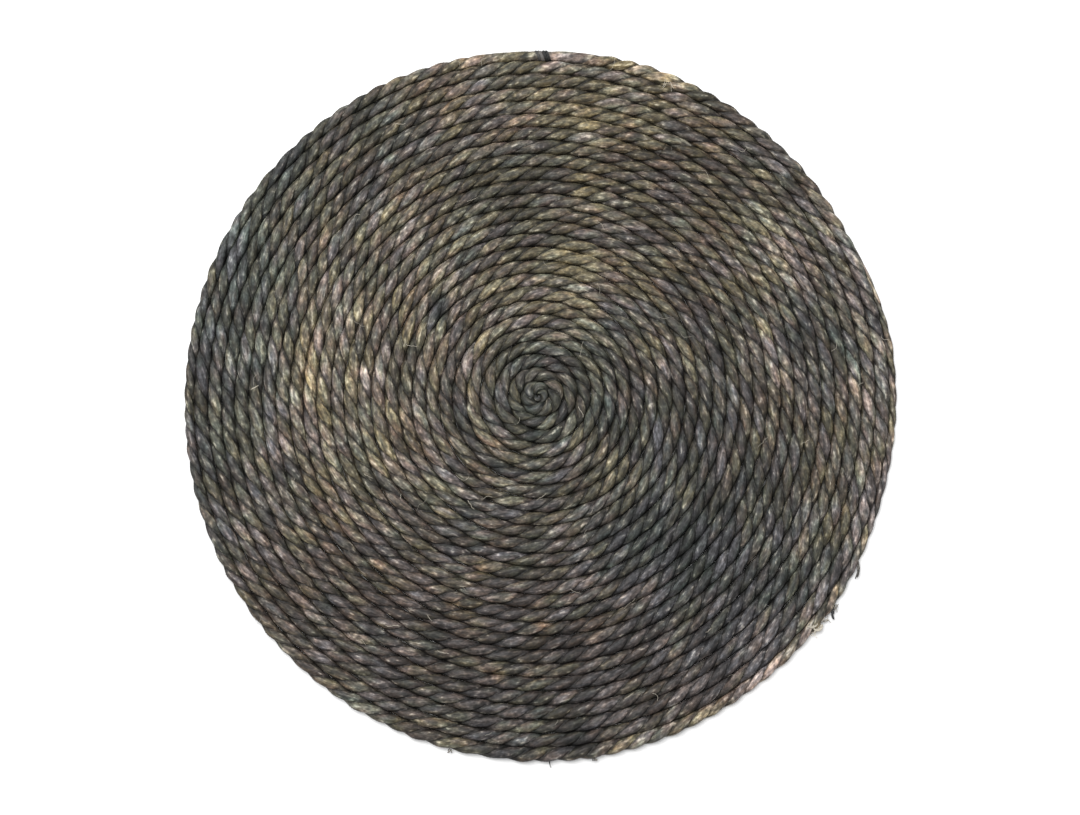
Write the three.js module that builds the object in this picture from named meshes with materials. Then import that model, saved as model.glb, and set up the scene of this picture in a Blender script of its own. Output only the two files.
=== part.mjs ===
// Round coiled placemat: one two-ply rope of twisted leaf fibre, wound flat from the middle
// outwards and sewn row to row, with a short binding where a new length of fibre was laid in.
// Millimetres, +Z up. The mat lies on its flat underside at z = 0.

import * as THREE from 'three';

// Driving dimensions
const ropePitch = 7.24;         // one row of the coil, from groove to groove
const ropeHeight = 7;           // the pressed rope, from the underside to its crown
const coilTurns = 25.9;         // rows that can be counted from the middle to the rim
const startBearing = 63;        // degrees, where the first full row begins
const seatGap = 0.3;            // between the binding and the rope that it holds

// Shape of the wound rope
const grooveHeight = ropeHeight / 2;
const shoulderInset = 0.28;     // where the crown begins and ends, as a share of the row
const undersideInset = 1.5;     // how far the round side of the last row draws in underneath
const stationsPerTurn = 40;
const degreesPerStation = 360 / stationsPerTurn;
const lastStation = Math.round(coilTurns * stationsPerTurn);
const firstRimStation = lastStation - stationsPerTurn;

// Width of the last row against a full row. The bearing runs on past 360 degrees to the tail,
// where the thinned end of the rope is tucked along the row before it.
const rimRow = [
  { bearing: 27, fullness: 1.0 },
  { bearing: 72, fullness: 1.0 },
  { bearing: 90, fullness: 0.72 },
  { bearing: 117, fullness: 0.94 },
  { bearing: 153, fullness: 0.87 },
  { bearing: 180, fullness: 0.76 },
  { bearing: 207, fullness: 0.9 },
  { bearing: 279, fullness: 1.06 },
  { bearing: 306, fullness: 0.8 },
  { bearing: 324, fullness: 0.8 },
  { bearing: 342, fullness: 0.54 },
  { bearing: 369, fullness: 0.56 },
  { bearing: 387, fullness: 0.0 },
];

// Binding at the rim
const bindingBearing = 90;
const bindingWidth = 5.2;       // along the rope
const bindingThickness = 0.9;
const bindingFoot = 1.1;        // height of its outer leg's end above the table
const bindingTuck = 0.35;       // how far down the inner slope of the row it reaches, as a share
const rowBow = bindingWidth / 2 * Math.tan(THREE.MathUtils.degToRad(degreesPerStation / 2));

function bearingAt(station) {
  return startBearing + degreesPerStation * station;
}

function fullnessAt(bearing) {
  const next = rimRow.findIndex((row) => row.bearing >= bearing);
  if (next <= 0) return rimRow[0].fullness;
  const before = rimRow[next - 1];
  const after = rimRow[next];
  const share = (bearing - before.bearing) / (after.bearing - before.bearing);
  return THREE.MathUtils.lerp(before.fullness, after.fullness, share);
}

// Inner and outer radius of the row that passes a station, and how full the rope is there.
function rowAt(station) {
  const inner = Math.max(0, ropePitch * station / stationsPerTurn);
  let outer = ropePitch * (station / stationsPerTurn + 1);
  if (station > firstRimStation) {
    const rimBearing = rimRow[0].bearing + degreesPerStation * (station - firstRimStation);
    outer = inner + ropePitch * fullnessAt(rimBearing);
  }
  const fullness = Math.min(1, (outer - inner) / ropePitch);
  return { inner, outer, fullness };
}

// Section of a row as radius and height pairs, from its inner groove to its outer one.
function rowSection(station) {
  const { inner, outer, fullness } = rowAt(station);
  const inset = shoulderInset * (outer - inner);
  const crown = THREE.MathUtils.lerp(grooveHeight, ropeHeight, fullness);
  return [
    { radius: inner, height: grooveHeight },
    { radius: inner + inset, height: crown },
    { radius: outer - inset, height: crown },
    { radius: outer, height: grooveHeight },
  ];
}

function pointAt(radius, bearing, height) {
  const angle = THREE.MathUtils.degToRad(bearing);
  return new THREE.Vector3(radius * Math.cos(angle), radius * Math.sin(angle), height);
}

// The coil as one closed solid. Neighbouring rows share the vertices of the groove between them.
function coilGeometry() {
  const positions = [];
  const faces = [];

  function addVertex(point) {
    positions.push(point.x, point.y, point.z);
    return positions.length / 3 - 1;
  }

  function addQuad(a, b, c, d) {
    faces.push(a, b, c, a, c, d);
  }

  const centre = addVertex(pointAt(0, 0, grooveHeight));
  const grooves = [centre];
  for (let station = 1; station <= lastStation; station += 1) {
    const { inner } = rowAt(station);
    grooves.push(addVertex(pointAt(inner, bearingAt(station), grooveHeight)));
  }
  const tailTip = grooves[lastStation];

  // The outer side of a row is the groove of the next turn, or the rim on the last turn.
  const rim = [tailTip];
  for (let station = firstRimStation + 1; station < lastStation; station += 1) {
    const { outer } = rowAt(station);
    rim.push(addVertex(pointAt(outer, bearingAt(station), grooveHeight)));
  }

  function outerVertex(station) {
    const next = station + stationsPerTurn;
    return next <= lastStation ? grooves[next] : rim[station - firstRimStation];
  }

  function rowVertices(station) {
    const section = rowSection(station);
    const bearing = bearingAt(station);
    const inShoulder = addVertex(pointAt(section[1].radius, bearing, section[1].height));
    const outShoulder = addVertex(pointAt(section[2].radius, bearing, section[2].height));
    return [grooves[Math.max(0, station)], inShoulder, outShoulder, outerVertex(station)];
  }

  // The rope grows out of the middle over one turn, so its first rows have no inner groove.
  let previous = rowVertices(1 - stationsPerTurn);
  faces.push(centre, previous[2], previous[1], centre, previous[3], previous[2]);
  for (let station = 2 - stationsPerTurn; station < lastStation; station += 1) {
    const current = rowVertices(station);
    for (let side = 0; side < 3; side += 1) {
      if (previous[side] === current[side]) {
        faces.push(previous[side], previous[side + 1], current[side + 1]);
      } else {
        addQuad(previous[side], previous[side + 1], current[side + 1], current[side]);
      }
    }
    previous = current;
  }
  for (let side = 0; side < 3; side += 1) {
    faces.push(previous[side], previous[side + 1], tailTip);
  }

  // Round side of the last row, and the flat underside.
  const underside = addVertex(pointAt(0, 0, 0));
  const foot = [];
  for (let step = 0; step < stationsPerTurn; step += 1) {
    const station = firstRimStation + step;
    const { outer } = rowAt(station);
    foot.push(addVertex(pointAt(outer - undersideInset, bearingAt(station), 0)));
  }
  for (let step = 0; step < stationsPerTurn; step += 1) {
    const next = (step + 1) % stationsPerTurn;
    addQuad(rim[step], foot[step], foot[next], rim[next]);
    faces.push(underside, foot[next], foot[step]);
  }

  const geometry = new THREE.BufferGeometry();
  geometry.setAttribute('position', new THREE.Float32BufferAttribute(positions, 3));
  geometry.setIndex(faces);
  geometry.computeVertexNormals();
  return geometry;
}

// A line of section points moved outwards, away from the rope that it follows.
function offsetSection(section, distance) {
  return section.map((point, index) => {
    const before = section[Math.max(0, index - 1)];
    const after = section[Math.min(section.length - 1, index + 1)];
    const into = new THREE.Vector2(point.radius - before.radius, point.height - before.height);
    const away = new THREE.Vector2(after.radius - point.radius, after.height - point.height);
    const first = into.lengthSq() > 0 ? into.normalize() : away.clone().normalize();
    const second = away.lengthSq() > 0 ? away.normalize() : first;
    const miter = first.clone().add(second).normalize();
    const reach = distance / miter.dot(second);
    return new THREE.Vector2(point.radius - miter.y * reach, point.height + miter.x * reach);
  });
}

// The binding as a bent strip over the last row: down its inner slope, over the crown and down
// the round outer side. The strip is straight and the row bends, which its clearance allows for.
function bindingGeometry(station) {
  const [groove, inShoulder, outShoulder, edge] = rowSection(station);
  const slopeShare = bindingFoot / grooveHeight;
  const tucked = {
    radius: THREE.MathUtils.lerp(inShoulder.radius, groove.radius, bindingTuck),
    height: THREE.MathUtils.lerp(inShoulder.height, groove.height, bindingTuck),
  };
  const foot = {
    radius: edge.radius - undersideInset * (1 - slopeShare),
    height: bindingFoot,
  };
  const route = [tucked, inShoulder, outShoulder, edge, foot];
  const clearance = seatGap + rowBow;
  const nearSide = offsetSection(route, clearance);
  const farSide = offsetSection(route, clearance + bindingThickness);
  const outline = new THREE.Shape([...nearSide, ...farSide.reverse()]);
  const geometry = new THREE.ExtrudeGeometry(outline, { depth: bindingWidth, bevelEnabled: false });
  geometry.translate(0, 0, -bindingWidth / 2);

  // The section plane holds radius and height, and the strip is as wide as it is along the rope.
  geometry.rotateX(Math.PI / 2);
  geometry.rotateZ(THREE.MathUtils.degToRad(bearingAt(station)));
  return geometry;
}

const fibre = new THREE.MeshStandardMaterial({ color: 0x58544d, roughness: 0.9, metalness: 0 });
const thread = new THREE.MeshStandardMaterial({ color: 0x2b2928, roughness: 0.85, metalness: 0 });

const coil = new THREE.Mesh(coilGeometry(), fibre);
coil.name = 'coiled_rope';

const bindingStation = firstRimStation
  + Math.round((bindingBearing - rimRow[0].bearing) / degreesPerStation);
const binding = new THREE.Mesh(bindingGeometry(bindingStation), thread);
binding.name = 'rim_binding';

// The coil is wound about its own middle, and the part is centred on its outline.
const mat = new THREE.Group();
mat.add(coil, binding);
const middle = new THREE.Box3().setFromObject(mat, true).getCenter(new THREE.Vector3());
mat.position.set(-middle.x, -middle.y, 0);

const part = new THREE.Group();
part.add(mat);
part.updateMatrixWorld(true);

export default part;
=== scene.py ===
# A round placemat, coiled flat from one two-ply rope of twisted leaf fibre.
# Metres, +Z up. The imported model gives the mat's box, and this script gives it its looks.

import math

import bpy
import numpy as np
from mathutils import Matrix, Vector


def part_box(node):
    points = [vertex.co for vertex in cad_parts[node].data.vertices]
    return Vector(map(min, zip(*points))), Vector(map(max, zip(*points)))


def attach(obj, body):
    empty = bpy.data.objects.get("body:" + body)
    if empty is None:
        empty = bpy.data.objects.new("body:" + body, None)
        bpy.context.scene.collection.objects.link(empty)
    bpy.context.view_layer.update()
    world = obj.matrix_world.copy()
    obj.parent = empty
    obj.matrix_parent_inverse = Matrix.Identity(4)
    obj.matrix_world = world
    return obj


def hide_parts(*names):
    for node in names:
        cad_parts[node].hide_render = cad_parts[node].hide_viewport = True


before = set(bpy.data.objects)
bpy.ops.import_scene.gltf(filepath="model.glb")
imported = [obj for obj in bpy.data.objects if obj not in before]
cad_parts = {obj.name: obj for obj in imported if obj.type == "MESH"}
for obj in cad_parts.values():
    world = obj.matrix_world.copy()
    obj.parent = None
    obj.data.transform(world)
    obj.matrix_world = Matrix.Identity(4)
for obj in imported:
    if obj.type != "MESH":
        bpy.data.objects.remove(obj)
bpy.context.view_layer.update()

bpy.context.scene.view_settings.view_transform = "Standard"


# Helpers for shader nodes

class Wire:
    # a node's output that takes part in sums, so that a formula reads as one
    def __init__(self, shader, socket):
        self.shader = shader
        self.socket = socket

    def maths(self, operation, first, second):
        return self.shader.node("ShaderNodeMath", {"operation": operation}, {0: first, 1: second})

    def __add__(self, other):
        return self.maths("ADD", self, other)

    def __radd__(self, other):
        return self.maths("ADD", other, self)

    def __sub__(self, other):
        return self.maths("SUBTRACT", self, other)

    def __rsub__(self, other):
        return self.maths("SUBTRACT", other, self)

    def __mul__(self, other):
        return self.maths("MULTIPLY", self, other)

    def __rmul__(self, other):
        return self.maths("MULTIPLY", other, self)

    def __rpow__(self, other):
        return self.maths("POWER", other, self)


class Shader:
    # a new material with one Principled shader, and the one way to add any other node
    def __init__(self, name, settings):
        self.material = bpy.data.materials.new(name)
        self.material.use_nodes = True
        self.nodes = self.material.node_tree.nodes
        self.links = self.material.node_tree.links
        self.principled = self.nodes["Principled BSDF"]
        for socket, value in settings.items():
            self.principled.inputs[socket].default_value = value

    def node(self, kind, settings, inputs, output=0):
        new = self.nodes.new(kind)
        for key, value in settings.items():
            setattr(new, key, value)
        for key, value in inputs.items():
            self.feed(new.inputs[key], value)
        return Wire(self, new.outputs[output])

    def feed(self, socket, value):
        if isinstance(value, Wire):
            self.links.new(value.socket, socket)
        else:
            socket.default_value = value

    def attribute(self, name, output="Fac"):
        return self.node("ShaderNodeAttribute", {"attribute_name": name}, {}, output)

    def parts(self, kind, value):
        # the three parts of a colour or of a vector
        first = self.node(kind, {}, {0: value})
        return [Wire(self, output) for output in first.socket.node.outputs]

    def stretched(self, vector, scale):
        # a vector with each axis scaled on its own, in repeats a metre
        return self.node("ShaderNodeVectorMath", {"operation": "MULTIPLY"}, {0: vector, 1: scale})

    def noise(self, vector, scale, detail, roughness):
        inputs = {"Vector": vector, "Scale": scale, "Detail": detail, "Roughness": roughness}
        return self.node("ShaderNodeTexNoise", {}, inputs)

    def remap(self, value, low, high, toLow=0.0, toHigh=1.0):
        inputs = {"Value": value, "From Min": low, "From Max": high, "To Min": toLow, "To Max": toHigh}
        return self.node("ShaderNodeMapRange", {"clamp": True}, inputs)

    def mix(self, factor, first, second, blend="MIX"):
        settings = {"data_type": "RGBA", "blend_type": blend}
        return self.node("ShaderNodeMix", settings, {0: factor, 6: first, 7: second}, 2)

    def bump(self, height, distance, strength, normal=None):
        inputs = {"Height": height, "Distance": distance, "Strength": strength}
        if normal:
            inputs["Normal"] = normal
        return self.node("ShaderNodeBump", {}, inputs)


def paint(red, green, blue):
    # a screen colour, 0 to 255, as the linear colour that a shader takes
    def linear(value):
        share = value / 255
        return share / 12.92 if share <= 0.04045 else ((share + 0.055) / 1.055) ** 2.4
    return (linear(red), linear(green), linear(blue), 1.0)


# Helpers for shapes

def ease(share):
    # a share from 0 to 1 that starts and ends gently
    return share * share * (3 - 2 * share)


def wander(along, spacing, seed):
    # smooth random values from -1 to 1, with a new one every spacing
    knots = np.random.default_rng(seed).uniform(-1, 1, int(along.max() / spacing) + 3)
    place = np.maximum(0, along / spacing)
    before = place.astype(int)
    share = ease(place - before)
    return knots[before] * (1 - share) + knots[before + 1] * share


def placePiece(piece, node):
    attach(piece, "root")
    if node:
        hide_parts(node)


def meshPiece(name, vertices, faces):
    mesh = bpy.data.meshes.new(name)
    mesh.from_pydata(vertices.tolist(), [], faces)
    piece = bpy.data.objects.new(name, mesh)
    bpy.context.scene.collection.objects.link(piece)
    mesh.shade_smooth()
    return piece


# The coil: where the rope runs

coil = {
    "pitch": 0.00724,           # one row, groove to groove
    "turns": 25.9,
    "startBearing": 63,         # degrees, where the first full row begins
    "startTurn": -0.97,         # the rope grows out of the middle over its first turn
    "grooveStray": (0.0011, 0.00035),   # how far a groove strays, in the middle and beyond it
    "middleTurns": 4,           # where the rope is wound tighter and less evenly
    "rimBearing": [27, 72, 90, 117, 153, 180, 207, 279, 306, 324, 342, 369, 387],
    "rimWidth": [1, 1, 0.72, 0.94, 0.87, 0.76, 0.9, 1.06, 0.8, 0.8, 0.54, 0.56, 0.04],
}
low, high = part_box("coiled_rope")
matHeight = high.z - low.z
lastTurn = coil["turns"] - 1


def grooveRadius(turn):
    # the groove on the inside of a row strays a little from an even spiral
    along = math.pi * coil["pitch"] * np.maximum(0, turn) ** 2
    middle, beyond = coil["grooveStray"]
    turns = [0, 1, coil["middleTurns"], coil["turns"] - 0.5, coil["turns"]]
    reach = np.interp(turn, turns, [0, middle, beyond, beyond, 0])
    stray = 0.6 * wander(along, spacing=0.045, seed=11) + 0.6 * wander(along, spacing=0.014, seed=17)
    return coil["pitch"] * np.maximum(0, turn) + reach * stray


def rowEdges(turn):
    # inner and outer radius of the row at a turn counted from the middle
    bearing = coil["rimBearing"][0] + 360 * (turn - lastTurn)
    width = np.interp(bearing, coil["rimBearing"], coil["rimWidth"])
    rim = coil["pitch"] * (turn + width)
    return grooveRadius(turn), np.where(turn > lastTurn, rim, grooveRadius(turn + 1))


def around(turn):
    return np.radians(coil["startBearing"] + 360 * turn)


def coilCentre():
    # the part is centred on its outline, which isn't the middle of the spiral
    turn = np.linspace(lastTurn, coil["turns"], 400)
    outer = rowEdges(turn)[1]
    x, y = outer * np.cos(around(turn)), outer * np.sin(around(turn))
    return np.array([
        (low.x + high.x) / 2 - (x.min() + x.max()) / 2,
        (low.y + high.y) / 2 - (y.min() + y.max()) / 2,
    ])


centre = coilCentre()

# The rope

rope = {
    "lay": 0.024,               # length of one full twist
    "middleLay": 0.42,          # share of the lay right in the middle
    "layUneven": (0.6, 1.6),    # radians, over one lay and over several
    "crossing": 0.12,           # how much quicker a seam crosses the top than it runs along a side
    "sides": 22,
    "stepsPerLay": 17,
    "closerWithin": 0.02,       # radius within which the rope is meshed closer along its length
    "closerAtSeams": 0.14,      # and how far the meshing round it is drawn to the seams
    "splitTurns": (15.3, 20.0), # the coil is three pieces, to keep each mesh light

    # size of the rope against its row and the mat
    "sideOverlap": 1.04,        # over 1 the rows are pressed into each other
    "heightShare": 0.462,       # half the rope's height, as a share of the mat's
    "thinHeight": 0.42,         # share of that height that is left where the rope thins out
    "heightUneven": 0.05,
    "squareness": (0.72, 0.95), # under 1 the section is boxy, most in the middle of the mat

    # the two strands and the seams between them
    "notch": 0.45,              # how far out the seam between the strands lies, as a share
    "roundness": 0.66,          # under 1 the strands bulge quickly from their seam
    "pressed": 0.35,            # how far the seam is filled where rows press together
    "lainOn": 0.8,              # and where the rope lies on the table
    "fillFrom": (0.65, 1.8),    # it fills up below the middle of a side: where it starts, how quickly
    "plainBearing": [77, 82, 100, 104],     # round the binding new fibres lie straight, with no seam
    "plainShare": [0, 0.85, 0.85, 0],

    # swellings of the strands and folds of the leaves, as shares of the radius
    "strandUneven": 0.06,
    "leafFold": 0.042,
    "smallFold": 0.45,          # height of the small folds against the large ones
    "smoothBelow": (0.8, 0.3),  # the underside is pressed smoother: how quickly, and what is left

    # what the material reads
    "fibreTurn": 0.32,          # how much of the twist the fibres on the surface follow
    "fibreRadius": 0.85,        # the straightened rope of the material, as a share of the half width
    # painted shade: the seams and grooves are darkened in the colour, where shade falls
    "grooveShade": (0.1, 0.95), # how dark the painted groove shade is, in the middle and beyond it
    "grooveUneven": (0.85, 0.25),       # how much of that is left on average, and how it varies
    "grooveLevel": 0.65,        # how far up and down a side the painted groove shade reaches
    "grooveAtSeam": (1.6, 1.9, 0.1),    # painted groove shade darker at a seam: how much, how quickly it fades, to what
    "seamShade": (0.45, 0.75),  # how dark the painted seam shade is, in the middle and beyond it
    "seamUneven": 0.35,
    "seamReach": (0.34, 0.56),  # width of the painted seam shade on top, and what it gains facing a side
    "grainFade": 0.2,           # share of a grain over which it fades into the next one
}


def ropeStations():
    turn = np.linspace(coil["startTurn"], coil["turns"], 80000)
    inner, outer = rowEdges(turn)
    radius = (inner + outer) / 2
    x, y = radius * np.cos(around(turn)), radius * np.sin(around(turn))
    along = np.concatenate([[0], np.cumsum(np.hypot(np.diff(x), np.diff(y)))])
    step = rope["lay"] / rope["stepsPerLay"]
    closeness = 1 / np.clip(radius / rope["closerWithin"], 0.35, 1)
    count = np.concatenate([[0], np.cumsum(np.diff(along) * closeness[1:] / step)])
    even = np.linspace(0, count[-1], round(count[-1]))
    turn = np.interp(even, count, turn)
    return turn, np.interp(even, count, along)


def ropeRun():
    # centre line, sideways direction, half sizes and twist of the rope at every station
    turn, along = ropeStations()
    inner, outer = rowEdges(turn)
    fullness = np.maximum(0, outer - inner) / coil["pitch"]
    outward = np.clip(turn / coil["middleTurns"], 0, 1)
    radius = (inner + outer) / 2
    bearing = around(turn)
    line = np.stack([radius * np.cos(bearing), radius * np.sin(bearing)], axis=1)
    tangent = np.gradient(line, axis=0)
    tangent /= np.linalg.norm(tangent, axis=1, keepdims=True)
    sideways = np.stack([tangent[:, 1], -tangent[:, 0]], axis=1)
    halfWidth = (outer - inner) / 2 * rope["sideOverlap"]
    thin = rope["thinHeight"]
    halfHeight = matHeight * rope["heightShare"] * (thin + (1 - thin) * np.minimum(1, fullness))
    halfHeight *= np.minimum(1, 4 * fullness)       # both ends of the rope run out flat
    halfHeight *= 1 + rope["heightUneven"] * (wander(along, spacing=0.03, seed=12) - 1) / 2
    short, long = rope["layUneven"]
    lay = rope["lay"] * np.interp(outward, [0, 1], [rope["middleLay"], 1])
    twist = np.cumsum(2 * math.pi / lay * np.gradient(along))
    twist += short * wander(along, spacing=0.02, seed=13) + long * wander(along, spacing=0.12, seed=16)
    twist -= rope["crossing"] * np.sin(2 * twist)
    rimBearing = coil["rimBearing"][0] + 360 * (turn - lastTurn)
    average, vary = rope["grooveUneven"]
    grooveUneven = average + vary * wander(along, spacing=0.013, seed=18)
    seamUneven = rope["seamUneven"] * wander(along, spacing=0.009, seed=19)
    return {
        "rimBearing": rimBearing,
        "grooveShade": np.interp(outward, [0, 1], rope["grooveShade"]) * grooveUneven,
        "squareness": np.interp(outward, [0, 1], rope["squareness"]),
        "seamShade": np.interp(outward, [0, 1], rope["seamShade"]) + seamUneven,
        "plain": np.interp(rimBearing, rope["plainBearing"], rope["plainShare"]),
        "turn": turn, "along": along, "line": line + centre, "sideways": sideways,
        "halfWidth": halfWidth, "halfHeight": halfHeight, "twist": twist,
    }


def sectionAngles():
    # the rope's section is closer meshed near the two seams between its strands
    even = np.linspace(0, 2 * math.pi, rope["sides"] + 1)
    return even - rope["closerAtSeams"] * np.sin(2 * even)


def strandBulge(angle):
    return rope["notch"] + (1 - rope["notch"]) * np.abs(np.sin(angle)) ** rope["roundness"]


def boxy(value, power):
    return np.sign(value) * np.abs(value) ** power


def lumps(along, angle, spacing, cells, seed):
    # smooth random values over the rope's surface, on a grid along it and round it
    grid = np.random.default_rng(seed).uniform(-1, 1, (int(along.max() / spacing) + 3, cells))
    place = along / spacing
    i = np.floor(place).astype(int)
    shareAlong = ease(place - i)
    ring = angle / (2 * math.pi) * cells
    j = np.floor(ring).astype(int)
    shareAround = ease(ring - j)
    j, k = j % cells, (j + 1) % cells
    here = grid[i, j] * (1 - shareAround) + grid[i, k] * shareAround
    after = grid[i + 1, j] * (1 - shareAround) + grid[i + 1, k] * shareAround
    return here * (1 - shareAlong) + after * shareAlong


run = ropeRun()
seamAngles = sectionAngles()
strandCount = 2
cellCount = int(run["twist"].max() / math.pi) + 8       # with some to spare at both ends
spareCells = 2

# each strand shows a row of grains, and every grain has its own tone and hue
grainRandom = np.random.default_rng(21)
grainTable = grainRandom.uniform(0, 1, (strandCount, cellCount, 2))


def grainValues(strand, cell):
    # tone and hue of a grain, and its strand. The cell counts half twists, and at its two ends
    # a grain fades into its neighbours.
    fade = rope["grainFade"]
    whole = np.floor(cell).astype(int)
    share = cell - whole
    ahead = np.clip((share - (1 - fade)) / (2 * fade), 0, 0.5)[..., None]
    behind = np.clip((fade - share) / (2 * fade), 0, 0.5)[..., None]
    table = grainTable[strand]
    place = whole + spareCells
    values = table[place] * (1 - ahead - behind)
    values = values + table[place + 1] * ahead + table[place - 1] * behind
    return np.concatenate([values, np.full(values.shape[:-1] + (1,), strand)], axis=-1)


# Stains of the dye, in millimetres from the middle of the mat:
# x, y, reach in x, reach in y, lighter, warmer, greener
stains = [
    (-125, 0, 22, 55, 0.38, 0.08, 0.0),
    (-82, 70, 30, 42, 0.30, 0.07, 0.0),
    (-112, 78, 18, 22, -0.12, -0.05, 0.1),
    (-65, -5, 45, 45, 0.24, 0.06, 0.0),
    (-5, 58, 48, 18, 0.38, 0.11, 0.1),
    (0, 168, 85, 26, 0.20, 0.14, 0.1),
    (55, 110, 40, 50, 0.10, 0.14, 0.1),
    (2, 6, 26, 26, -0.45, -0.06, 0.3),
    (-165, 60, 28, 75, -0.12, -0.20, 0.2),
    (-112, 140, 36, 34, -0.34, -0.08, 0.1),
    (-5, 118, 48, 14, -0.33, 0.05, 0.2),
    (4, 84, 50, 12, -0.14, 0.0, 0.0),
    (82, 95, 20, 62, -0.30, 0.0, -0.2),
    (124, 60, 12, 42, 0.42, 0.03, 0.0),
    (166, 84, 24, 44, 0.27, 0.0, 0.0),
    (122, -138, 46, 30, 0.40, -0.04, -0.5),
    (148, 32, 14, 20, -0.15, -0.14, 0.1),
    (86, -28, 30, 46, -0.40, -0.16, -0.1),
    (60, -76, 38, 16, -0.34, -0.20, 0.1),
    (25, -25, 40, 28, -0.20, -0.04, 0.1),
    (62, 16, 22, 12, 0.22, 0.02, 0.0),
    (-60, -110, 80, 40, -0.18, 0.0, -0.3),
    (20, -150, 90, 34, -0.34, -0.03, -0.3),
    (104, -104, 46, 40, -0.34, -0.20, 0.05),
    (178, -56, 16, 82, 0.43, -0.03, -0.25),
    (126, -70, 20, 18, 0.26, 0.03, 0.0),
    (-135, -66, 44, 32, -0.13, 0.04, -0.1),
    (-178, -30, 16, 60, -0.15, -0.07, 0.0),
    (18, -180, 9, 4.5, -0.9, -0.3, 0.0),
    (-54, 49, 4.2, 5.5, -1.6, -0.4, 0.0),
    (-5, -18, 3.2, 3.2, -1.3, -0.2, 0.0),
    (-22, -146, 4, 3, 0.9, 0.35, 0.2),
    (-86, -87, 4, 3, 0.9, 0.35, 0.2),
    (-46, -108, 4, 3, 0.8, 0.3, 0.2),
    (2, -119, 4, 3, 0.9, 0.3, 0.2),
    (93, -67, 3.5, 4, 1.0, 0.1, 0.0),
    (-18, -190, 5, 4, -0.7, 0.0, 0.0),
]

# Along the last row only: from and to bearing, lighter, warmer, greener
rimStains = [
    (66, 88.5, 0.6, 0.14, -0.1),
    (90.3, 92.4, 1.2, 0.16, -0.1),
    (92.4, 104, 0.6, 0.12, -0.1),
    (104, 150, -0.15, 0.0, 0.0),
    (278, 284, 0.5, 0.12, -0.1),
    (284, 322, 0.82, 0.16, 0.25),
    (325.8, 328.4, 1.3, 0.08, 0.2),
]

# Blotches over the whole mat: which of the three they change, strength, spacing, seed
dyeBlotches = [
    (0, 0.25, 0.017, 31),
    (0, 0.34, 0.0075, 32),
    (1, 0.07, 0.023, 33),
    (1, 0.11, 0.0085, 34),
    (2, 0.25, 0.017, 35),
    (2, 0.35, 0.007, 36),
]

groundReach = 0.21              # from the middle of the mat to just past its rim


def blotches(ground, spacing, seed):
    # smooth random values over the mat, about a spacing wide
    count = int(2 * groundReach / spacing) + 3
    grid = np.random.default_rng(seed).uniform(-1, 1, (count, count))
    place = (ground + groundReach) / spacing
    cell = np.floor(place).astype(int)
    share = ease(place - cell)
    i, j = cell[:, 0], cell[:, 1]
    u, v = share[:, 0], share[:, 1]
    near = grid[i, j] * (1 - u) + grid[i + 1, j] * u
    far = grid[i, j + 1] * (1 - u) + grid[i + 1, j + 1] * u
    return near * (1 - v) + far * v


def stainValues(ground, rimBearing):
    # lightness, warmth and greenness of the dye at each point
    values = np.zeros((len(ground), 3))
    for start, end, light, warm, green in rimStains:
        weight = np.clip(rimBearing - start, 0, 1) * np.clip(end - rimBearing, 0, 1)
        values += weight[:, None] * np.array([light, warm, green])
    for x, y, reachX, reachY, light, warm, green in stains:
        offX = (ground[:, 0] * 1000 - x) / reachX
        offY = (ground[:, 1] * 1000 - y) / reachY
        weight = np.exp(-0.5 * (offX ** 2 + offY ** 2) ** 1.5)
        values += weight[:, None] * np.array([light, warm, green])
    for column, strength, spacing, seed in dyeBlotches:
        values[:, column] += strength * blotches(ground, spacing, seed)
    return values


def strandLumps(along, fibreAngle, firstStrand, spacing, cells, seed):
    # lumps on the rope, with a pattern of its own for each of the two strands
    first = lumps(along, fibreAngle, spacing, cells, seed)
    second = lumps(along, fibreAngle, spacing, cells, seed + 1)
    return np.where(firstStrand, first, second)


def strandSwelling(first, last, firstStrand):
    # how much each strand swells along the rope
    swelling = [wander(run["along"], spacing=0.011, seed=seed) for seed in (14, 15)]
    one, other = [values[first:last + 1, None] for values in swelling]
    return np.where(firstStrand, one, other)


def filledSeam(part, world):
    # how far the seam is filled, from 0 to 1, where the rope is pressed or lies on the table
    startsAt, slope = rope["fillFrom"]
    inside = (np.cos(world) < 0) | (part["turn"][:, None] < lastTurn)
    below = np.clip(startsAt - slope * np.sin(world), 0, 1)
    pressed = rope["pressed"] * np.abs(np.cos(world)) ** 4 * (1 - below) + below
    filled = np.where(inside, pressed, 0)
    filled = np.maximum(filled, rope["lainOn"] * np.clip(-np.sin(world), 0, 1))
    return np.maximum(filled, part["plain"][:, None])


def ropePaintedShade(part, angle, world, up):
    # painted shade: how dark a point is painted for lying in a seam, or in the groove between two rows
    narrow, wider = rope["seamReach"]
    reach = narrow + wider * np.abs(np.cos(world)) ** 1.5       # widest where it faces a side
    seam = np.clip(1 - np.abs(np.sin(angle)) / reach, 0, 1) * (1 - part["plain"][:, None])
    level = np.abs(up) / part["halfHeight"][:, None]
    darkest, slope, least = rope["grooveAtSeam"]
    nearSeam = np.clip(darkest - slope * np.abs(np.sin(angle)), least, 1)
    side = np.clip((rope["grooveLevel"] - level) / rope["grooveLevel"], 0, 1) ** 1.3 * nearSeam
    return np.maximum(seam * part["seamShade"][:, None], side * part["grooveShade"][:, None])


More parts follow.
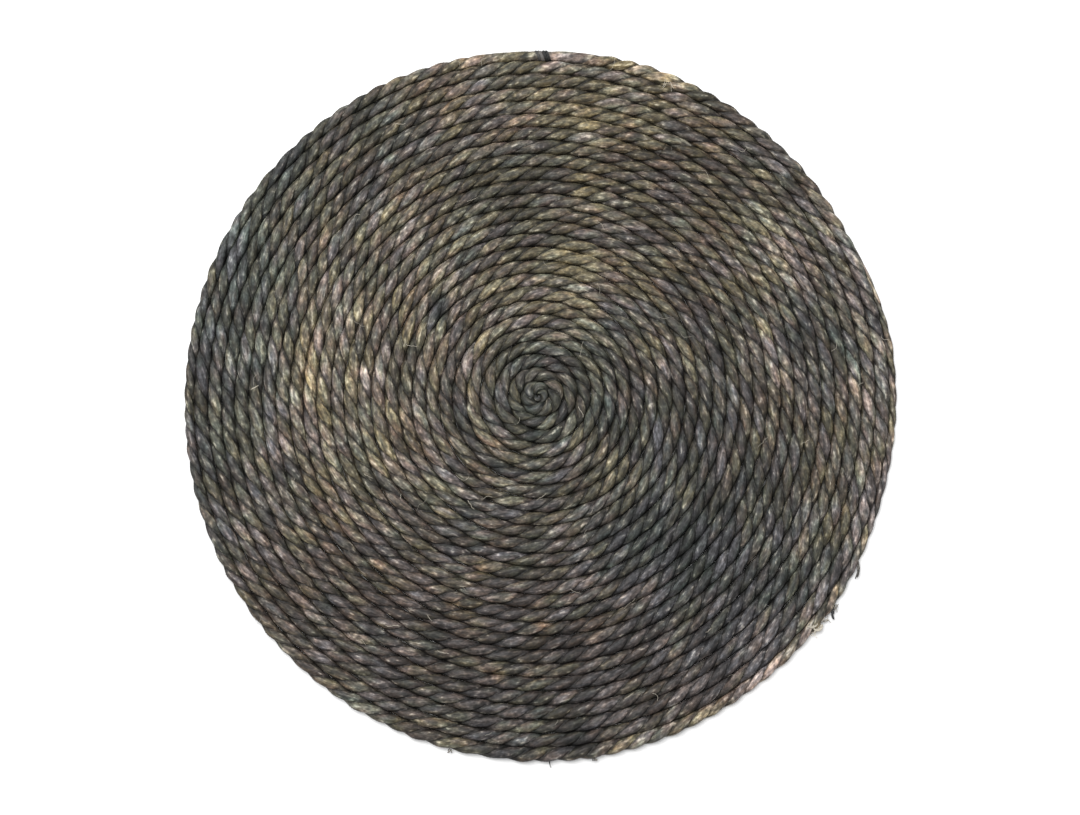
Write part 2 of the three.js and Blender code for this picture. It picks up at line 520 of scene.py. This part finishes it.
def grainColours(part):
    # at every face corner, the grain that its face belongs to
    sides = rope["sides"]
    left, right = seamAngles[:-1], seamAngles[1:]
    cornerAngle = np.stack([left, left, right, right], axis=1)
    start, end = part["twist"][:-1], part["twist"][1:]
    twist = np.stack([start, end, end, start], axis=1)
    cell = (twist[:, None, :] + cornerAngle[None, :, :]) / math.pi
    inFirst = np.arange(sides) < sides // strandCount
    values = np.where(inFirst[None, :, None, None], grainValues(0, cell), grainValues(1, cell))
    colours = np.concatenate([values, np.ones(values.shape[:-1] + (1,))], axis=3).reshape(-1, 4)
    ends = np.full((2 * sides, 4), 0.5)
    return np.concatenate([colours, ends])


def ropePiece(name, first, last):
    part = {key: value[first:last + 1] for key, value in run.items()}
    halfWidth, halfHeight = part["halfWidth"][:, None], part["halfHeight"][:, None]
    squareness = part["squareness"][:, None]
    stations = last + 1 - first
    sides = rope["sides"]
    angle = seamAngles[None, :-1]
    along = np.broadcast_to(part["along"][:, None], (stations, sides))
    world = part["twist"][:, None] + angle
    fibreAngle = world - rope["fibreTurn"] * part["twist"][:, None]
    firstStrand = angle < math.pi

    # the section: a bulge for each strand, with its seams filled and its leaves folded
    folds = strandLumps(along, fibreAngle, firstStrand, spacing=0.0062, cells=11, seed=41)
    smallFolds = strandLumps(along, fibreAngle, firstStrand, spacing=0.003, cells=9, seed=43)
    raised = rope["strandUneven"] * strandSwelling(first, last, firstStrand)
    raised = raised + rope["leafFold"] * (folds + rope["smallFold"] * smallFolds)
    slope, least = rope["smoothBelow"]
    raised = raised * np.clip(1 + slope * np.sin(world), least, 1)
    bulge = strandBulge(angle)
    bulge = bulge + (1 - bulge) * filledSeam(part, world)
    bulge = bulge * (1 + raised * np.abs(np.sin(angle)) ** 0.5)
    out = halfWidth * bulge * boxy(np.cos(world), squareness)
    up = halfHeight * bulge * boxy(np.sin(world), squareness)
    up = np.minimum(up, matHeight - halfHeight)
    ground = part["line"][:, None, :] + part["sideways"][:, None, :] * out[..., None]
    height = np.maximum(0, halfHeight + up)
    vertices = np.concatenate([ground, height[..., None]], axis=2).reshape(-1, 3)

    # quads along the rope, and one face that closes each end
    i = np.arange(stations - 1)[:, None] * sides
    j = np.arange(sides)[None, :]
    after = (j + 1) % sides
    quads = np.stack([i + j, i + sides + j, i + sides + after, i + after], axis=2)
    lastRing = (stations - 1) * sides
    ends = [list(range(sides)), [lastRing + k for k in reversed(range(sides))]]
    piece = meshPiece(name, vertices, quads.reshape(-1, 4).tolist() + ends)

    # values that the material reads: the place on a straightened rope, the dye, the painted shade in the
    # hollows
    fibreRadius = halfWidth * rope["fibreRadius"]
    fibres = np.stack([along, fibreRadius * np.cos(fibreAngle), fibreRadius * np.sin(fibreAngle)], axis=2)
    rimBearing = np.repeat(part["rimBearing"], sides)
    addPointValues(piece, "fibres", "FLOAT_VECTOR", "vector", fibres)
    addPointValues(piece, "stain", "FLOAT_VECTOR", "vector", stainValues(vertices[:, :2], rimBearing))
    # painted shade of the seams and grooves
    addPointValues(piece, "paintedShade", "FLOAT", "value", ropePaintedShade(part, angle, world, up))
    layer = piece.data.color_attributes.new(name="grain", type="FLOAT_COLOR", domain="CORNER")
    layer.data.foreach_set("color", grainColours(part).astype(np.float32).ravel())
    return piece


def addPointValues(piece, name, kind, field, values):
    layer = piece.data.attributes.new(name, kind, "POINT")
    layer.data.foreach_set(field, np.ascontiguousarray(values, dtype=np.float32).ravel())


fibre = {
    "cool": paint(87, 90.5, 89),
    "warm": paint(112, 92, 66),
    "purple": (1.05, 0.955, 1.08, 1),
    "green": (0.92, 1.04, 0.95, 1),
    "pale": paint(188, 182, 166),

    # repeats a metre, along the rope and across it
    "streakScale": (210, 760, 760),
    "lumpScale": (330, 520, 520),
    "tintScale": (80, 220, 220),
    "warmthScale": (150, 420, 420),
    "strandShift": (13.7, 11.3, 17.1),      # so that the two strands don't have the same streaks

    # brightness, in powers of e: what is taken off everywhere, and what each one adds
    "darker": 0.52,
    "grainTone": 1.05,
    "streakTone": 3.5,
    "lumpTone": 3.9,
    "paintedShadeTone": (2.3, 1.2),   # what the painted shade in a hollow takes away, where the fibre is dark and where pale

    # warm against cool, and green against purple: the middle, then what each one adds
    "warmBase": 0.42,
    "warmthHue": 0.8,
    "grainWarmth": 0.4,
    "greenBase": 0.57,
    "tintHue": 2.4,
    "grainGreen": 0.7,

    # pale flecks on the streaks
    "fleckRange": (0.63, 0.82),
    "fleckStrength": 0.5,
    "fleckLump": 0.5,
    "fleckStain": 0.06,

    "roughness": (0.7, 0.5),    # where a streak is dark and where it is pale
    "lumpRelief": 0.0006,
    "streakRelief": 0.0004,
    "relief": 0.8,
}


def fibreMaterial():
    shader = Shader("leafFibre", {"Roughness": 0.6, "Specular IOR Level": 0.35})
    grain = shader.attribute("grain", "Color")
    stain = shader.attribute("stain", "Vector")
    grainTone, grainHue, strand = shader.parts("ShaderNodeSeparateColor", grain)
    light, warm, green = shader.parts("ShaderNodeSeparateXYZ", stain)
    # the painted shade of the seams and grooves
    paintedShade = shader.attribute("paintedShade")
    fibres = shader.attribute("fibres", "Vector")
    shifts = {axis: strand * amount for axis, amount in enumerate(fibre["strandShift"])}
    shift = shader.node("ShaderNodeCombineXYZ", {}, shifts)

    def along(scale, detail, roughness):
        inputs = {0: shader.stretched(fibres, scale), 1: shift}
        moved = shader.node("ShaderNodeVectorMath", {"operation": "ADD"}, inputs)
        return shader.noise(moved, 1.0, detail, roughness)

    streak = along(fibre["streakScale"], 2.0, 0.6)
    lump = along(fibre["lumpScale"], 2.0, 0.6)
    tint = along(fibre["tintScale"], 1.0, 0.5)
    warmth = along(fibre["warmthScale"], 1.0, 0.5)

    exponent = light + (grainTone - 0.5) * fibre["grainTone"]
    exponent = exponent + (streak - 0.5) * fibre["streakTone"] + (lump - 0.5) * fibre["lumpTone"]
    # painted shade darkens the seams and grooves
    exponent = exponent - paintedShade * shader.remap(lump, 0.3, 0.7, *fibre["paintedShadeTone"]) - fibre["darker"]
    brightness = math.e ** exponent
    mellow = fibre["warmBase"] + warm + (warmth - 0.5) * fibre["warmthHue"]
    mellow = mellow + (grainHue - 0.5) * fibre["grainWarmth"]
    leafy = fibre["greenBase"] + green + (tint - 0.5) * fibre["tintHue"]
    leafy = leafy + (grainHue - 0.5) * fibre["grainGreen"]

    colour = shader.mix(shader.remap(mellow, 0, 1), fibre["cool"], fibre["warm"])
    cast = shader.mix(shader.remap(leafy, 0, 1), fibre["purple"], fibre["green"])
    colour = shader.mix(1.0, colour, cast, "MULTIPLY")
    grey = shader.node("ShaderNodeCombineColor", {}, {0: brightness, 1: brightness, 2: brightness})
    colour = shader.mix(1.0, colour, grey, "MULTIPLY")
    fleck = streak + (lump - 0.5) * fibre["fleckLump"] + light * fibre["fleckStain"]
    fleck = shader.remap(fleck, *fibre["fleckRange"], 0, fibre["fleckStrength"])
    # no pale flecks where the shade is painted
    colour = shader.mix(fleck * (1 - paintedShade), colour, fibre["pale"])
    shader.feed(shader.principled.inputs["Base Color"], colour)
    roughness = shader.remap(streak, 0.3, 0.7, *fibre["roughness"])
    shader.feed(shader.principled.inputs["Roughness"], roughness)
    coarse = shader.bump(lump, fibre["lumpRelief"], fibre["relief"])
    fine = shader.bump(streak, fibre["streakRelief"], fibre["relief"], coarse)
    shader.feed(shader.principled.inputs["Normal"], fine)
    return shader.material


leafFibre = fibreMaterial()
lastStation = len(run["turn"]) - 1
splits = [int(station) for station in np.searchsorted(run["turn"], rope["splitTurns"])]
spans = zip(["coilInner", "coilMiddle", "coilOuter"], [0] + splits, splits + [lastStation])
for name, first, last in spans:
    piece = ropePiece(name, first, last)
    piece.data.materials.append(leafFibre)
    placePiece(piece, "coiled_rope")
    nearRadius = rowEdges(run["turn"][first])[0]
    farRadius = rowEdges(run["turn"][last - 1])[0] + coil["pitch"] / 2
    area = math.pi * (farRadius ** 2 - nearRadius ** 2)
    2 * farRadius
    2 * farRadius
    print(name, "made of", len(piece.data.polygons), "faces")
print("rope coiled,", round(float(run["along"][-1]), 2), "m long")

# Threads and loose fibres

tube = {
    "tipWidth": 0.35,           # share of its thickness that a thread has at its very tips
    "taper": 6,                 # how quickly it grows to its full thickness
    "slant": (0.31, 0.17, 0.94),    # a direction that no thread runs in, to turn its rings by
}


def sweep(path, radius, sides):
    # a closed tube along a path, thinner at its ends
    path = np.asarray(path, dtype=float)
    count = len(path)
    tangent = np.gradient(path, axis=0)
    tangent /= np.linalg.norm(tangent, axis=1, keepdims=True)
    first = np.cross(tangent, tube["slant"])
    first /= np.linalg.norm(first, axis=1, keepdims=True)
    second = np.cross(tangent, first)
    turn = np.arange(sides) * 2 * math.pi / sides
    place = np.linspace(0, 1, count)
    fromTip = np.minimum(place, 1 - place)
    width = radius * np.minimum(1, tube["tipWidth"] + tube["taper"] * fromTip)
    ring = first[:, None] * np.cos(turn)[:, None] + second[:, None] * np.sin(turn)[:, None]
    vertices = (path[:, None] + ring * width[:, None, None]).reshape(-1, 3)
    faces = []
    for i in range(count - 1):
        for j in range(sides):
            k = (j + 1) % sides
            faces.append([i * sides + j, i * sides + k, (i + 1) * sides + k, (i + 1) * sides + j])
    faces.append(list(reversed(range(sides))))
    faces.append([(count - 1) * sides + j for j in range(sides)])
    return vertices, faces


def bunch(name, tubes, material, node=None):
    # many tubes as one mesh, each with its own tone
    vertices, faces, tones = [], [], []
    start = 0
    for path, radius, sides, tone in tubes:
        points, loops = sweep(path, radius, sides)
        vertices.append(points)
        faces += [[start + corner for corner in loop] for loop in loops]
        tones += [tone] * len(points)
        start += len(points)
    piece = meshPiece(name, np.concatenate(vertices), faces)
    addPointValues(piece, "tone", "FLOAT", "value", np.array(tones))
    piece.data.materials.append(material)
    placePiece(piece, node)
    print(name, "made of", len(tubes), "tubes")


threadFinish = {
    "mottleScale": 900,
    "mottleTone": 0.8,
    "relief": 0.0002,
    "reliefStrength": 0.6,
}


def strandMaterial(name, dark, pale):
    shader = Shader(name, {"Roughness": 0.65})
    place = shader.node("ShaderNodeTexCoord", {}, {}, "Object")
    mottle = shader.noise(place, threadFinish["mottleScale"], 2.0, 0.6)
    share = shader.attribute("tone") + (mottle - 0.5) * threadFinish["mottleTone"]
    colour = shader.mix(shader.remap(share, 0, 1), dark, pale)
    shader.feed(shader.principled.inputs["Base Color"], colour)
    relief = shader.bump(mottle, threadFinish["relief"], threadFinish["reliefStrength"])
    shader.feed(shader.principled.inputs["Normal"], relief)
    return shader.material


def onMat(bearing, radius, height):
    angle = math.radians(bearing)
    return np.array([
        radius * math.cos(angle) + centre[0], radius * math.sin(angle) + centre[1], height,
    ])


def rimStation(bearing):
    # the place in the run of the rope where the last row passes a bearing
    return int(np.searchsorted(run["rimBearing"], bearing))


binding = {
    "bearing": 89.0,
    "lean": 0.0012,             # each turn leans along the rope, between its outer and inner side
    "stepsPerTurn": 22,
    "sides": 8,
    "outside": 1.03,            # how far round the rope the thread lies, against the rope's half size
    "uneven": (0.05, 0.2),      # as a share of that, and in mm along the rope
}

# its bundles of turns: place and width along the rope in mm, turns, thread radius in mm, tone
bundles = [
    (2.7, 1.5, 2, 0.42, 0.30),
    (0.9, 1.6, 2, 0.40, 0.85),
    (-1.8, 3.3, 4, 0.48, 0.0),
]


def bindingTubes():
    station = rimStation(binding["bearing"])
    middle, out = run["line"][station], run["sideways"][station]
    onward = np.array([-out[1], out[0]])
    looser, aside = binding["uneven"]
    tubes = []
    for place, width, turns, thick, tone in bundles:
        steps = np.linspace(0, 1, turns * binding["stepsPerTurn"])
        uneven = wander(steps * turns, spacing=0.4, seed=51 + turns)
        angle = 2 * math.pi * turns * steps - math.pi / 2
        reach = binding["outside"] * (1 + looser * uneven)
        side = run["halfWidth"][station] * reach * np.cos(angle)
        height = run["halfHeight"][station] * (1 + reach * np.sin(angle))
        shift = (place + (steps - 0.5) * width + aside * uneven) / 1000
        shift = shift + binding["lean"] * np.cos(angle)
        ground = middle + out * side[:, None] + onward * shift[:, None]
        height = np.maximum(height, thick / 1000)
        path = np.concatenate([ground, height[:, None]], axis=1)
        tubes.append((path, thick / 1000, binding["sides"], tone))
    return tubes


darkThread = strandMaterial("darkThread", paint(12, 13, 15), paint(100, 97, 95))
bunch("bindingThread", bindingTubes(), darkThread, "rim_binding")

looseFibre = strandMaterial("looseFibre", paint(38, 38, 40), paint(198, 190, 174))

fray = {
    "steps": 12,
    "sides": 6,
    "bend": 0.45,               # radians that a fibre turns at a step, for a curl of 1
    "rise": 0.25,               # and how steeply it rises or falls, for a curl of 3
    "lowest": 0.0003,           # a fibre lies on the table at its lowest
    "spread": 0.15,             # degrees along the rim, for a curl of 1
    "aimSpread": 18,            # and in direction

    # how far a fibre differs from its line in the table below
    "length": (0.6, 1.1),
    "radius": (0.8, 1.2),
    "tone": 0.2,
}

# Loose ends: bearing, mm out from the rim, height in mm, length in mm, direction, curl,
# radius in mm, tone, how many
looseEnds = [
    (319.6, -0.8, 4.5, 6, 335, 2.6, 0.15, 0.65, 6),
    (320.4, 0.2, 3.5, 6, 250, 2.8, 0.12, 0.85, 5),
    (321.8, 0.0, 2.5, 5, 10, 2.8, 0.15, 0.50, 5),
    (324.2, 0.6, 3.0, 3.6, 10, 2.0, 0.20, 0.35, 5),
    (66.8, -6.0, 7.0, 5, 245, 0.4, 0.10, 0.80, 1),
    (67.3, -5.0, 7.0, 5, 285, 0.4, 0.10, 0.75, 1),
    (67.8, -6.0, 7.0, 5, 250, 0.4, 0.10, 0.80, 1),
    (68.3, -4.5, 7.0, 5, 300, 0.4, 0.10, 0.70, 2),
    (271.7, -0.8, 2.5, 4.5, 270, 0.4, 0.16, 0.05, 2),
    (278.6, -0.6, 3.5, 3.2, 290, 1.2, 0.30, 0.12, 4),
    (256.0, -0.6, 3.0, 3.0, 250, 1.4, 0.26, 0.12, 3),
    (178.0, -40.0, 6.9, 6, 215, 0.4, 0.12, 0.95, 2),
]

# Thick curled ends: three of the pale tuft, the dark stub, and the hook above it.
# Middle of the arc as x and y, height and radius of the arc in mm, first angle, sweep in
# degrees, thickness as a radius in mm, tone
curls = [
    # the three tuft curls are pale fibre, and their middle tones are partly painted shade
    (146.2, -119.6, 4.0, 2.3, 175, 200, 0.80, 0.82),
    (147.4, -115.1, 4.6, 2.0, 195, 160, 0.50, 0.40),
    (142.8, -117.1, 5.0, 3.2, 230, 110, 0.50, 0.60),
    (164.3, -112.8, 2.6, 10.0, 165, 30, 0.90, 0.0),
    (156.1, -89.2, 3.4, 12.0, 17, -36, 0.62, 0.10),
]

curl = {
    "steps": 14,
    "sides": 7,
    "beside": (-0.5, 0, 0.5),   # its three fibres, in thicknesses from the middle one
    "fibre": 0.6,               # thickness of one of them, as a share of the curl's
    "turnSpread": 12,           # degrees
    "tone": 0.12,
    "apart": (0.5, 0.8),        # mm that they part from one another, outwards and upwards
}

looseHair = {
    "count": 80,
    "length": (0.003, 0.010),
    "radius": (0.00005, 0.00010),
    "beside": 0.6,              # how far from the crown it may start, as a share of the half width
    "sunk": 0.0004,             # how far below the crown it starts
    "highest": 0.001,           # and how far above its start it may reach
    "lift": 0.0007,
    "aside": 40,                # degrees that it may turn away from the run of the rope
    "curl": 1.3,
    "steps": 9,
    "sides": 5,
    "tones": [0.1, 0.5, 0.8, 1.0],
}


def curlyPath(start, direction, length, curliness, random, steps):
    # a fibre that starts on the rope and wanders off
    heading = math.radians(direction)
    path = [np.array(start)]
    for _ in range(steps):
        heading += curliness * random.uniform(-1, 1) * fray["bend"]
        rise = random.uniform(-1, 1) * fray["rise"] * curliness / 3
        step = np.array([math.cos(heading), math.sin(heading), rise]) * length / steps
        point = path[-1] + step
        point[2] = max(point[2], fray["lowest"])
        path.append(point)
    return path


def looseTubes():
    random = np.random.default_rng(61)
    tubes = []
    for bearing, beyond, height, length, direction, curliness, thick, tone, count in looseEnds:
        rim = rowEdges(run["turn"][rimStation(bearing)])[1]
        for _ in range(count):
            startBearing = bearing + random.uniform(-1, 1) * fray["spread"] * curliness
            start = onMat(startBearing, rim + beyond / 1000, height / 1000)
            reach = length / 1000 * random.uniform(*fray["length"])
            aim = direction + random.uniform(-1, 1) * fray["aimSpread"] * curliness
            path = curlyPath(start, aim, reach, curliness, random, fray["steps"])
            shade = tone + random.uniform(-fray["tone"], fray["tone"])
            radius = thick / 1000 * random.uniform(*fray["radius"])
            tubes.append((path, radius, fray["sides"], shade))
    return tubes


def curlTubes():
    # each curl is three fibres side by side, which part from one another towards their tips
    random = np.random.default_rng(63)
    partOutwards, partUpwards = [np.linspace(0, most, curl["steps"]) for most in curl["apart"]]
    spread = curl["turnSpread"]
    tubes = []
    for x, y, height, reach, first, sweepAngle, thick, tone in curls:
        for side in curl["beside"]:
            ends = np.array([first, first + sweepAngle]) + random.uniform(-spread, spread, 2)
            angle = np.radians(np.linspace(*ends, curl["steps"]))
            arc = reach + side * thick + partOutwards * random.uniform(-1, 1)
            level = height + side * thick * curl["fibre"] + partUpwards * random.uniform(-1, 0.6)
            path = np.stack([x + arc * np.cos(angle), y + arc * np.sin(angle), level], axis=1)
            shade = tone + random.uniform(-curl["tone"], curl["tone"])
            tubes.append((path / 1000, thick * curl["fibre"] / 1000, curl["sides"], shade))
    return tubes


def hairTubes():
    # fine hairs that stand off the crowns of the rope all over the mat
    random = np.random.default_rng(62)
    tubes = []
    for _ in range(looseHair["count"]):
        station = int(lastStation * random.uniform(0.02, 0.98))
        out = run["sideways"][station]
        side = random.uniform(-looseHair["beside"], looseHair["beside"]) * run["halfWidth"][station]
        ground = run["line"][station] + out * side
        top = 2 * run["halfHeight"][station] - looseHair["sunk"]
        heading = math.degrees(math.atan2(out[0], -out[1])) + random.choice([0, 180])
        heading += random.uniform(-looseHair["aside"], looseHair["aside"])
        length = random.uniform(*looseHair["length"])
        path = curlyPath([*ground, top], heading, length, looseHair["curl"], random, looseHair["steps"])
        rise = np.sin(np.linspace(0, math.pi, len(path))) * looseHair["lift"]
        most = top + looseHair["highest"]
        path = [np.array([x, y, min(z + lift, most)]) for (x, y, z), lift in zip(path, rise)]
        radius = random.uniform(*looseHair["radius"])
        tubes.append((path, radius, looseHair["sides"], random.choice(looseHair["tones"])))
    return tubes


bunch("frayedEnds", looseTubes() + curlTubes(), looseFibre)
bunch("looseHairs", hairTubes(), looseFibre)

# The floor, the light and the camera

studio = {
    "floorSize": 6,
    "floorColour": (0.86, 0.86, 0.86, 1),
    "skyStrength": 0.5,
    "keySize": 1.1,
    "keyPower": 34,
    "keyPlace": (-0.3, 0.5, 1.45),
}

bpy.ops.object.select_all(action="DESELECT")
bpy.ops.mesh.primitive_plane_add(size=studio["floorSize"])
floor = bpy.context.object
floor.name = "floor"
floorShader = Shader("paleFloor", {"Roughness": 0.9, "Base Color": studio["floorColour"]})
floor.data.materials.append(floorShader.material)

world = bpy.data.worlds.new("softSky")
world.use_nodes = True
world.node_tree.nodes["Background"].inputs["Color"].default_value = (1, 1, 1, 1)
world.node_tree.nodes["Background"].inputs["Strength"].default_value = studio["skyStrength"]
bpy.context.scene.world = world

bpy.ops.object.light_add(type="AREA", location=studio["keyPlace"])
key = bpy.context.object
key.name = "keyLight"
key.data.size = studio["keySize"]
key.data.energy = studio["keyPower"]
key.rotation_euler = (-Vector(studio["keyPlace"])).to_track_quat("-Z", "Y").to_euler()

shot = {
    "imageSize": (1080, 815),
    "outline": (184, 50, 897, 763),     # left, top, right and bottom of the mat in the photo
    "elevation": 86,
    "distance": 0.86,
    "sensor": 36,
    "rounds": 6,
}


def placeCamera():
    # the camera slides until the mat's outline sits in the frame as it does in the photo
    width, height = shot["imageSize"]
    left, top, right, bottom = shot["outline"]
    tilt = math.radians(90 - shot["elevation"])
    turn = np.linspace(lastTurn, coil["turns"], 200)
    outer = rowEdges(turn)[1]
    outline = np.stack([
        outer * np.cos(around(turn)) + centre[0],
        outer * np.sin(around(turn)) + centre[1],
        np.full(len(turn), matHeight / 2),
    ], axis=1)
    rightward = np.array([1, 0, 0])
    upward = np.array([0, math.cos(tilt), math.sin(tilt)])
    backward = np.array([0, -math.sin(tilt), math.cos(tilt)])
    spot = backward * shot["distance"]
    pixels = (right - left) / (high.x - low.x) * shot["distance"]
    for _ in range(shot["rounds"]):
        offset = outline - spot
        depth = -(offset @ backward)
        x = width / 2 + pixels * (offset @ rightward) / depth
        y = height / 2 - pixels * (offset @ upward) / depth
        pixels *= (right - left) / (x.max() - x.min())
        slideX = (x.max() + x.min() - left - right) / 2
        slideY = (y.max() + y.min() - top - bottom) / 2
        metre = shot["distance"] / pixels
        spot = spot + rightward * slideX * metre - upward * slideY * metre
    bpy.ops.object.camera_add(location=tuple(spot), rotation=(tilt, 0, 0))
    camera = bpy.context.object
    camera.name = "photoCamera"
    camera.data.sensor_width = shot["sensor"]
    camera.data.lens = pixels / width * shot["sensor"]
    bpy.context.scene.camera = camera
    print("camera lens", round(camera.data.lens, 1), "mm")


placeCamera()
